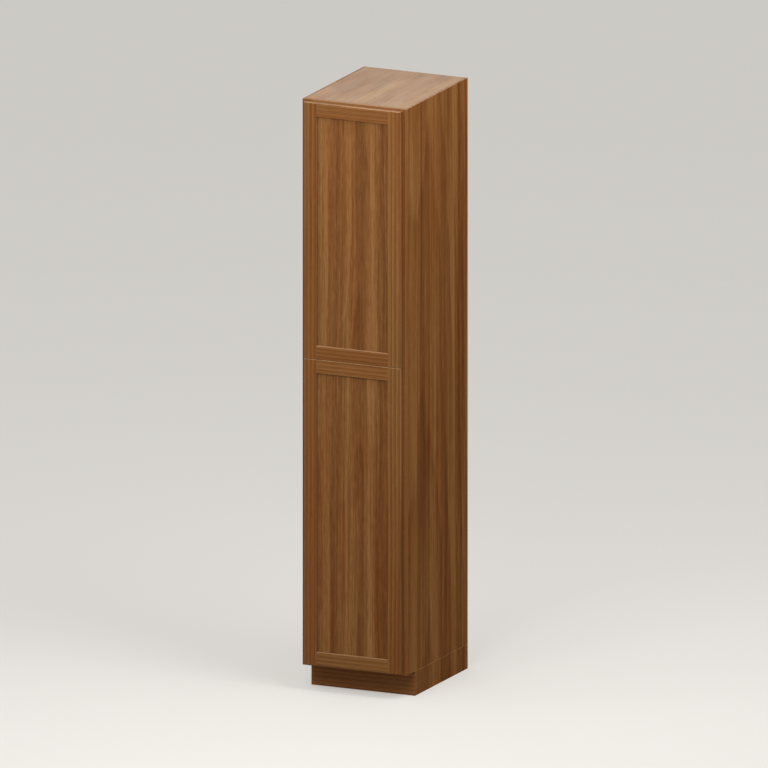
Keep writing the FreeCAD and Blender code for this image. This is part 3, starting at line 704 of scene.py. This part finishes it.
@dataclass
class TurnedPieces:
    """Pieces turned on a lathe, made and repeated by one Geometry Nodes tree."""

    sides: int = 28
    seed: int = 7
    # The lathe's path is a ring this small, in metres, so that a profile's radius is the piece's.
    ring_m: float = 1e-5
    # A driver's wedge ends this blunt, in metres, and is this share as thick as it is wide.
    wedge_tip_m: float = 0.0003
    wedge_share: float = 0.22
    tree: bpy.types.NodeTree = field(init=False)
    sockets: dict[str, str] = field(init=False)

    def __post_init__(self) -> None:
        """Build the tree with its named inputs."""
        self.tree = bpy.data.node_groups.new("turned_pieces", "GeometryNodeTree")
        face = self.tree.interface
        face.new_socket(name="Pieces", in_out="OUTPUT", socket_type="NodeSocketGeometry")
        kinds = {
            "Places": "Geometry", "Profile": "Object", "Sides": "Int", "Recess Width": "Float",
            "Recess Depth": "Float", "Twist Seed": "Int", "Finish": "Material",
        }
        self.sockets = {}
        for name, kind in kinds.items():
            socket = face.new_socket(name=name, in_out="INPUT", socket_type=f"NodeSocket{kind}")
            self.sockets[name] = socket.identifier
        self.fill_tree()

    def fill_tree(self) -> None:
        """Lay out the lathe, the driver recess and the repeats."""
        add = partial(add_node, self.tree)
        given = add("NodeGroupInput").node.outputs
        profile = add("ObjectInfo", {"Object": given["Profile"]}, "Geometry")
        ring = add("CurvePrimitiveCircle", {"Resolution": given["Sides"], "Radius": self.ring_m})
        ring = add("SetCurveNormal", {"Curve": ring}, mode="Z_UP")
        turned = add("CurveToMesh", {"Curve": ring, "Profile Curve": profile})
        turned = add("MergeByDistance", {"Geometry": turned, "Distance": 3 * self.ring_m})
        turned = add("SetShadeSmooth", {"Geometry": turned})
        meshes = {"Mesh 1": turned, "Mesh 2": self.recess(add, given)}
        recessed = add("MeshBoolean", meshes, operation="DIFFERENCE", solver="EXACT")
        has_recess = add("FunctionNodeCompare", {0: given["Recess Depth"], 1: 0.0},
                         data_type="FLOAT", operation="GREATER_THAN")
        kinds = {"Switch": has_recess, "False": turned, "True": recessed}
        unit = add("Switch", kinds, input_type="GEOMETRY")
        facing = add("InputNamedAttribute", {"Name": FACING}, data_type="FLOAT_VECTOR")
        aimed = add("FunctionNodeAlignRotationToVector", {"Vector": facing}, axis="Z")
        chance = {"Max": (0.0, 0.0, math.tau), "Seed": given["Twist Seed"]}
        twist = add("FunctionNodeRandomValue", chance, data_type="FLOAT_VECTOR")
        twist = add("FunctionNodeEulerToRotation", {0: twist})
        turns = {"Rotation": aimed, "Rotate By": twist}
        turn = add("FunctionNodeRotateRotation", turns, rotation_space="LOCAL")
        repeats = add("InstanceOnPoints", {"Points": given["Places"], "Instance": unit, "Rotation": turn})
        real = add("RealizeInstances", {"Geometry": repeats})
        dressed = add("SetMaterial", {"Geometry": real, "Material": given["Finish"]})
        add("NodeGroupOutput", {0: dressed})

    def recess(self, add: Adder, given: bpy.types.bpy_prop_collection) -> Socket:
        """Lay out the cross-shaped cutter of a screw driver: two thin wedges that taper downwards.

        Args:
            add: Adds a node to the tree.
            given: The tree's inputs by name.

        Returns:
            The cutter.
        """
        # The wedges reach as far above the head as below it, so they are twice as deep and wide.
        depth, width = (
            add("ShaderNodeMath", {0: given[name], 1: 2.0}, operation="MULTIPLY")
            for name in ("Recess Depth", "Recess Width")
        )
        wedge = add("MeshCone", {
            "Vertices": 4, "Radius Top": width, "Radius Bottom": self.wedge_tip_m, "Depth": depth,
        })
        low = add("ShaderNodeMath", {0: given["Recess Depth"], 1: -1.0}, operation="MULTIPLY")
        place = add("ShaderNodeCombineXYZ", {2: low})
        first, second = (
            add("Transform", {"Geometry": wedge, "Translation": place, "Scale": scale})
            for scale in ((1.0, self.wedge_share, 1.0), (self.wedge_share, 1.0, 1.0))
        )
        cross = add("MeshBoolean", {"Mesh 2": first}, operation="UNION", solver="EXACT")
        self.tree.links.new(second, cross.node.inputs["Mesh 2"])
        return cross

    def make(self, name: str, profile: Sequence[Pair], places: Iterable[Place], finish: Finish,
             recess: Pair = (0.0, 0.0), closed: bool = False) -> Piece:
        """Turn a profile and repeat it.

        Args:
            name: Name of the new piece.
            profile: Radius and depth below the head of each corner, from the head to the far end.
            places: Where each repeat's head is.
            finish: The finish.
            recess: Half width and depth of a driver recess, or zeros.
            closed: Whether the profile is a ring that doesn't reach the axis.

        Returns:
            One plain mesh piece with all the repeats.
        """
        curve = bpy.data.curves.new(f"{name}_profile", "CURVE")
        curve.dimensions = "3D"
        spline = curve.splines.new("POLY")
        spline.points.add(len(profile) - 1)
        for point, (radius, depth) in zip(spline.points, profile):
            point.co = (radius * MM - self.ring_m, depth * MM, 0.0, 1.0)
        spline.use_cyclic_u = closed
        outline = new_piece(curve.name, curve)
        middles, ways = zip(*places)
        points = bpy.data.meshes.new(name)
        points.from_pydata(middles, [], [])
        facing = points.attributes.new(FACING, "FLOAT_VECTOR", "POINT")
        for item, way in zip(facing.data, ways):
            item.vector = way
        piece = new_piece(name, points)
        step = piece.modifiers.new("turned_pieces", "NODES")
        step.node_group = self.tree
        values = {
            "Profile": outline, "Sides": self.sides, "Recess Width": recess[0] * MM,
            "Recess Depth": recess[1] * MM, "Twist Seed": self.seed, "Finish": finish.material(),
        }
        for key, value in values.items():
            step[self.sockets[key]] = value
        graph = bpy.context.evaluated_depsgraph_get()
        mesh = bpy.data.meshes.new_from_object(piece.evaluated_get(graph), depsgraph=graph)
        piece.modifiers.clear()
        piece.data = mesh
        bpy.data.objects.remove(outline)
        self.turn_outwards(mesh)
        return piece

    def turn_outwards(self, mesh: bpy.types.Mesh) -> None:
        """Make the faces point outwards and shade all but the sharp corners smoothly.

        Args:
            mesh: The mesh, which is changed.
        """
        work = bmesh.new()
        work.from_mesh(mesh)
        bmesh.ops.remove_doubles(work, verts=work.verts, dist=WELD_M)
        bmesh.ops.recalc_face_normals(work, faces=work.faces)
        work.to_mesh(mesh)
        work.free()
        mesh.set_sharp_from_angle(angle=TURNED_CREASE)


@dataclass(frozen=True)
class Screw:
    """A countersunk wood screw with a cross recess and cut threads."""

    head_radius: float = 3.2
    head_depth: float = 1.8
    shank_radius: float = 1.6
    length: float = 14.0
    rim: float = 0.15
    pitch: float = 1.4
    # Radius between the threads as a share of the shank's.
    core: float = 0.72
    tip: float = 2.6
    # Plain shank under the head, a thread's lower flank in pitches, and thread on the tip.
    plain: float = 0.8
    flank: float = 0.35
    runout: float = 0.4
    # The driver recess as shares of the head's radius and depth.
    recess: Pair = (0.62, 0.75)

    def profile(self) -> list[Pair]:
        """Give the outline from the head down to the point, with a ridge for each turn of thread.

        Returns:
            Radius and depth of each corner.
        """
        shank, core = self.shank_radius, self.core * self.shank_radius
        head, rim = self.head_radius, self.rim
        neck = self.head_depth + self.plain
        outline = [(0.0, 0.0), (head - rim, 0.0), (head - rim / 2, rim)]
        outline += [(shank, self.head_depth), (shank, neck)]
        for turn in range(int((self.length - self.tip - neck) / self.pitch)):
            start = neck + turn * self.pitch
            outline += [(core, start + self.flank * self.pitch), (shank, start + self.pitch)]
        return outline + [(core, self.length - self.tip + self.runout), (0.0, self.length)]

    def drive(self, turned: TurnedPieces, node: str, look: Look, body: Body, finish: Finish) -> None:
        """Turn all the screws of a CAD node.

        Args:
            turned: The lathe.
            node: The CAD node.
            look: Which way the heads look.
            body: The body that they move with.
            finish: Their finish.
        """
        recess = (self.recess[0] * self.head_radius, self.recess[1] * self.head_depth)
        screws = turned.make(f"{node}_turned", self.profile(), heads(node, look), finish, recess)
        settle(screws, body, finish, node)


@dataclass
class Boards:
    """A set of boards of one body, each an eased copy of its CAD node."""

    body: Body
    finishes: dict[str, Finish]
    arris: float = 0.25

    def build(self) -> None:
        """Make and dress each board."""
        for node, finish in self.finishes.items():
            settle(eased_copy(node, self.arris), self.body, finish, node)


@dataclass
class Case:
    """The box of the cupboard with its face frame, hanging rails and loose shelves."""

    turned: TurnedPieces
    rail_arris: float = 1.0
    pin_radius: float = 2.5
    pin_collar: float = 3.8
    pin_reach: float = 9.0
    pin_collar_width: float = 1.5
    pin_length: float = 18.0

    def build(self) -> None:
        """Make the boards, the dowels and the shelf pins."""
        shelves = ("bottom_panel", "fixed_shelf", "adjustable_shelf_1", "adjustable_shelf_2")
        stiles = ("face_stile_left", "face_stile_right")
        face_rails = ("face_rail_bottom", "face_rail_middle", "face_rail_top")
        hang_rails = ("hang_rail_bottom", "hang_rail_middle", "hang_rail_top")
        Boards(Body.CARCASS, {
            "side_left": CASE_SIDE, "side_right": CASE_SIDE,
            "top_panel": CASE_TOP, "back_panel": CASE_BACK,
            **dict.fromkeys(shelves, CASE_SHELF),
            **dict.fromkeys(stiles, FRAME_STILE),
            **dict.fromkeys(face_rails, FRAME_RAIL),
        }).build()
        Boards(Body.CARCASS, dict.fromkeys(hang_rails, POPLAR), self.rail_arris).build()
        self.dress_dowels()
        self.build_pins()

    def dress_dowels(self) -> None:
        """Give the hidden dowels their beech."""
        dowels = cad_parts["face_frame_dowels"]
        dowels.material_slots[0].material = BEECH.material()
        log.info("face_frame_dowels stays as it is, %s", BEECH.name)

    def build_pins(self) -> None:
        """Turn the shelf pins: a round nose under the shelf, a collar on the side, a peg in its hole."""
        radius, collar, back, length = self.pin_radius, self.pin_collar, self.pin_reach, self.pin_length
        front = back - self.pin_collar_width
        profile = [
            (0.0, 0.0), (radius - 0.9, 0.0), (radius - 0.25, 0.3), (radius, 1.0), (radius, front),
            (collar - 0.4, front), (collar, front + 0.4), (collar, back), (radius, back),
            (radius, length - 0.8), (radius - 0.6, length), (0.0, length),
        ]
        places = []
        for low, high in solids("shelf_pins"):
            middle = (low + high) / 2
            look, tip = (Look.RIGHT, high.x) if middle.x < 0 else (Look.LEFT, low.x)
            places.append((Vector((tip, middle.y, middle.z)), Vector(look.value)))
        pins = self.turned.make("shelf_pins_turned", profile, places, NICKEL)
        settle(pins, Body.CARCASS, NICKEL, "shelf_pins")


@dataclass
class Plinth:
    """The recessed base: four boards, a brace, corner blocks and the screws up into them."""

    turned: TurnedPieces
    screw: Screw = Screw(4.4, 2.6, 2.2, 44.0, 0.2, 2.4, 0.7, 4.0)
    arris: float = 0.5
    inner_arris: float = 1.0

    def build(self) -> None:
        """Make the plinth boards, its inner pieces and the screws."""
        Boards(Body.CARCASS, {
            "plinth_front": PLINTH_ACROSS_LIGHTENED, "plinth_back": PLINTH_ACROSS_LIGHTENED,
            "plinth_left": PLINTH_SIDE, "plinth_right": PLINTH_SIDE,
        }, self.arris).build()
        inner = {"plinth_brace": POPLAR, "plinth_corner_blocks": POPLAR_UPRIGHT}
        Boards(Body.CARCASS, inner, self.inner_arris).build()
        self.screw.drive(self.turned, "plinth_screws", Look.UP, Body.CARCASS, ZINC)


@dataclass
class Hinges:
    """The frame side of the pin hinges: leaves with end knuckles, pins and screws."""

    turned: TurnedPieces
    screw: Screw = Screw()
    leaf_arris: float = 0.3
    pin_radius: float = 1.6
    pin_length: float = 66.4
    dome: float = 0.9

    def build(self) -> None:
        """Make the leaves, the domed pins and the screws of the frame."""
        leaves = stamped_copy("hinge_frame_leaves", self.leaf_arris)
        settle(leaves, Body.CARCASS, BRONZE, "hinge_frame_leaves")
        # Shares of the pin's radius and of the dome's height, from the tip.
        dome = [(share * self.pin_radius, depth * self.dome)
                for share, depth in ((0.0, 0.0), (0.55, 0.12), (0.88, 0.5), (1.0, 1.0))]
        profile = dome + [(radius, self.pin_length - depth) for radius, depth in reversed(dome)]
        pins = self.turned.make("hinge_pins_turned", profile, heads("hinge_pins", Look.UP), BRONZE)
        settle(pins, Body.CARCASS, BRONZE, "hinge_pins")
        self.screw.drive(self.turned, "hinge_frame_screws", Look.FRONT, Body.CARCASS, BRONZE)


@dataclass
class Door:
    """A frame-and-panel door with its hinge leaves, strike plate and bumpers."""

    name: str
    body: Body
    turned: TurnedPieces
    screw: Screw = Screw()
    arris: float = 0.5
    leaf_arris: float = 0.3
    bumper_radius: float = 5.0
    bumper_height: float = 2.85

    def build(self) -> None:
        """Make the wooden door and then what is screwed or stuck to its back."""
        door = f"{self.name}_door"
        Boards(self.body, {
            f"{door}_hinge_stile": DOOR_STILE, f"{door}_free_stile": DOOR_STILE,
            f"{door}_top_rail": DOOR_RAIL, f"{door}_bottom_rail": DOOR_RAIL, f"{door}_panel": DOOR_PANEL,
        }, self.arris).build()
        stampings = (
            (f"{door}_hinge_leaves", BRONZE, f"{door}_hinge_screws", BRONZE),
            (f"{door}_strike", NICKEL, f"{door}_strike_screws", ZINC),
        )
        for node, finish, screws, screw_finish in stampings:
            settle(stamped_copy(node, self.leaf_arris), self.body, finish, node)
            self.screw.drive(self.turned, screws, Look.BACK, self.body, screw_finish)
        self.add_bumpers()

    def add_bumpers(self) -> None:
        """Turn the soft domed bumpers in the corners of the free stile."""
        node = f"{self.name}_door_bumpers"
        # Shares of the bumper's radius and of its height, from the tip.
        dome = ((0.0, 0.0), (0.3, 0.02), (0.56, 0.13), (0.77, 0.33), (0.91, 0.6), (0.985, 0.86),
                (1.0, 1.0), (0.0, 1.0))
        profile = [(share * self.bumper_radius, depth * self.bumper_height) for share, depth in dome]
        bumpers = self.turned.make(f"{node}_domed", profile, heads(node, Look.BACK), BUMPER)
        settle(bumpers, self.body, BUMPER, node)


@dataclass
class PushLatch:
    """A push latch on the frame's right stile: housing with a nose ring, plunger and magnet."""

    name: str
    body: Body
    turned: TurnedPieces
    arris: float = 0.7
    plunger_radius: float = 4.5
    plunger_length: float = 30.0
    magnet_radius: float = 3.0
    magnet_depth: float = 6.0
    magnet_air: float = 0.03
    nose_width: float = 1.7
    nose_height: float = 0.8
    nose_air: float = 0.15
    # How far the nose ring reaches into the housing.
    nose_root: float = 0.4

    def build(self) -> None:
        """Make the housing, its nose ring, the plunger and the magnet."""
        latch = f"{self.name}_latch"
        housing = eased_copy(f"{latch}_housing", self.arris, SMALL_EDGE)
        settle(housing, Body.CARCASS, ACETAL, f"{latch}_housing")
        tip = heads(f"{latch}_plunger", Look.FRONT)
        low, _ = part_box(f"{latch}_housing")
        inner = self.plunger_radius + self.nose_air
        outer = inner + self.nose_width
        root = self.nose_height + self.nose_root
        profile = [(inner, root), (inner, 0.25), (inner + 0.35, 0.0), (outer - 0.5, 0.0), (outer, 0.45),
                   (outer, root)]
        places = [(Vector((place.x, low.y - self.nose_height * MM, place.z)), way) for place, way in tip]
        nose = self.turned.make(f"{latch}_nose", profile, places, ACETAL, closed=True)
        settle(nose, Body.CARCASS, ACETAL)
        self.build_plunger(tip)

    def build_plunger(self, tip: list[Place]) -> None:
        """Turn the plunger, with a pocket in its nose, and the magnet in the pocket.

        Args:
            tip: The place of the plunger's nose.
        """
        radius, length = self.plunger_radius, self.plunger_length
        magnet, deep = self.magnet_radius, self.magnet_depth
        pocket = magnet + self.magnet_air
        profiles = {
            "plunger": [
                (0.0, deep), (pocket, deep), (pocket, 0.12), (pocket + 0.12, 0.0), (radius - 0.6, 0.0),
                (radius - 0.18, 0.18), (radius, 0.6), (radius, length - 0.5), (radius - 0.5, length),
                (0.0, length),
            ],
            "magnet": [(0.0, 0.0), (magnet - 0.25, 0.0), (magnet, 0.25), (magnet, deep), (0.0, deep)],
        }
        for (part, profile), finish in zip(profiles.items(), (ACETAL, NICKEL)):
            node = f"{self.name}_latch_{part}"
            settle(self.turned.make(f"{node}_turned", profile, tip, finish), self.body, finish, node)


def aim(holder: Piece, place_m: Sequence[float], look: Vector) -> None:
    """Put a light or a camera in its place, looking one way."""
    turn = look.to_track_quat("-Z", "Y").to_matrix().to_4x4()
    holder.matrix_world = Matrix.Translation(place_m) @ turn


@dataclass(frozen=True)
class Lamp:
    """A square soft lamp that looks at a point, in metres and watts."""

    name: str
    place_m: Triple
    aim_m: Triple
    size_m: float
    watts: float

    def hang(self) -> None:
        """Put the lamp into the scene."""
        light = bpy.data.lights.new(self.name, "AREA")
        light.size = self.size_m
        light.energy = self.watts
        aim(new_piece(self.name, light), self.place_m, Vector(self.aim_m) - Vector(self.place_m))


@dataclass
class Studio:
    """A pale floor, soft lamps and the camera of the photograph, which sees without perspective."""

    azimuth: float = 24.65
    elevation: float = 13.88
    view_width_m: float = 3.078
    camera_back_m: float = 9.0
    camera_sight_m: float = 100.0
    floor_m: float = 60.0
    floor_cells: int = 8
    pale: str = "#E4E1DC"
    # Light that surfaces get from the surroundings, apart from what the eye and gloss see of them.
    around: float = 0.52
    floor_bounce: float = 0.42
    # Share of the floor's paleness that is seen even where the lamps don't reach.
    floor_glow: float = 0.5
    lamps: tuple[Lamp, ...] = (
        Lamp("lamp_front", (0.1, -3.6, 3.9), (0.0, -0.3, 1.6), 2.6, 122.0),
        Lamp("lamp_right", (2.3, -0.8, 4.4), (0.2, 0.0, 1.6), 2.0, 100.0),
        Lamp("lamp_over", (-1.0, -1.0, 5.0), (0.0, -0.2, 2.4), 1.6, 15.0),
    )
    # Level light from behind, in watts per square metre, its source's width in degrees, and its way.
    level_light: float = 1.6
    level_spread: float = 15.0
    level_way: Triple = (1.0, -1.0, 0.0)

    def build(self) -> None:
        """Set up the floor, the light and the camera."""
        bpy.context.scene.view_settings.view_transform = "Standard"
        self.build_floor()
        self.build_world()
        for lamp in self.lamps:
            lamp.hang()
        self.add_level_light()
        self.build_camera()

    def build_floor(self) -> None:
        """Lay a pale floor that keeps the shadow and throws back less light than the eye sees."""
        work = bmesh.new()
        cells = self.floor_cells
        bmesh.ops.create_grid(work, x_segments=cells, y_segments=cells, size=self.floor_m / 2)
        mesh = bpy.data.meshes.new("studio_floor")
        work.to_mesh(mesh)
        work.free()
        floor = new_piece("studio_floor", mesh)
        material = bpy.data.materials.new("matt_studio_paint")
        add = emptied(material)
        shown = self.seen(add)
        bounce, lit, glow = (
            [share * level for level in linear(self.pale)[:3]] + [1.0]
            for share in (self.floor_bounce, 1 - self.floor_glow, self.floor_glow)
        )
        colour = add("Mix", {"Factor": shown, 6: bounce, 7: lit}, 2, data_type="RGBA")
        paint = add("BsdfDiffuse", {"Color": colour})
        haze = add("Emission", {"Color": glow, "Strength": shown})
        shader = add("AddShader", {0: paint, 1: haze})
        add("OutputMaterial", {"Surface": shader})
        mesh.materials.append(material)

    def seen(self, add: Adder) -> Socket:
        """Tell what is seen from light that a dull surface gathers.

        Args:
            add: Adds a node to a material or the world.

        Returns:
            1 for the eye, gloss and glass, 0 for the rest.
        """
        path = add("LightPath").node.outputs
        seen = path["Is Camera Ray"]
        for other in ("Is Glossy Ray", "Is Transmission Ray"):
            seen = add("Math", {0: seen, 1: path[other]}, operation="MAXIMUM")
        return seen

    def build_world(self) -> None:
        """Fill the surroundings with even light, pale where they are seen."""
        world = bpy.data.worlds.new("studio_world")
        add = emptied(world)
        colours = {6: grey(self.around), 7: linear(self.pale)}
        colour = add("Mix", {"Factor": self.seen(add), **colours}, 2, data_type="RGBA")
        light = add("Background", {"Color": colour, "Strength": 1.0})
        add("OutputWorld", {"Surface": light})
        bpy.context.scene.world = world

    def add_level_light(self) -> None:
        """Send level light from behind on the left, which passes over the floor and the top panel."""
        light = bpy.data.lights.new("light_behind", "SUN")
        light.energy = self.level_light
        light.angle = math.radians(self.level_spread)
        aim(new_piece("light_behind", light), (0.0, 0.0, 0.0), Vector(self.level_way))

    def build_camera(self) -> None:
        """Stand the camera at the photograph's angle, aimed at the middle of the cupboard."""
        low, high = CAD_BOX
        side, up = math.radians(self.azimuth), math.radians(self.elevation)
        back = Vector((math.sin(side) * math.cos(up), -math.cos(side) * math.cos(up), math.sin(up)))
        data = bpy.data.cameras.new("photo_camera")
        data.type = "ORTHO"
        data.ortho_scale = self.view_width_m
        data.clip_end = self.camera_sight_m
        camera = new_piece("photo_camera", data)
        aim(camera, (low + high) / 2 + back * self.camera_back_m, -back)
        bpy.context.scene.camera = camera


def main() -> None:
    """Build the cupboard's sub-assemblies in order, then the studio."""
    logging.basicConfig(level=logging.INFO, format="%(name)s: %(message)s")
    turned = TurnedPieces()
    Case(turned).build()
    Plinth(turned).build()
    Hinges(turned).build()
    Screw().drive(turned, "latch_screws", Look.LEFT, Body.CARCASS, ZINC)
    PushLatch("upper", Body.UPPER_LATCH, turned).build()
    PushLatch("lower", Body.LOWER_LATCH, turned).build()
    Door("upper", Body.UPPER_DOOR, turned).build()
    Door("lower", Body.LOWER_DOOR, turned).build()
    Studio().build()


if __name__ == "__main__":
    main()
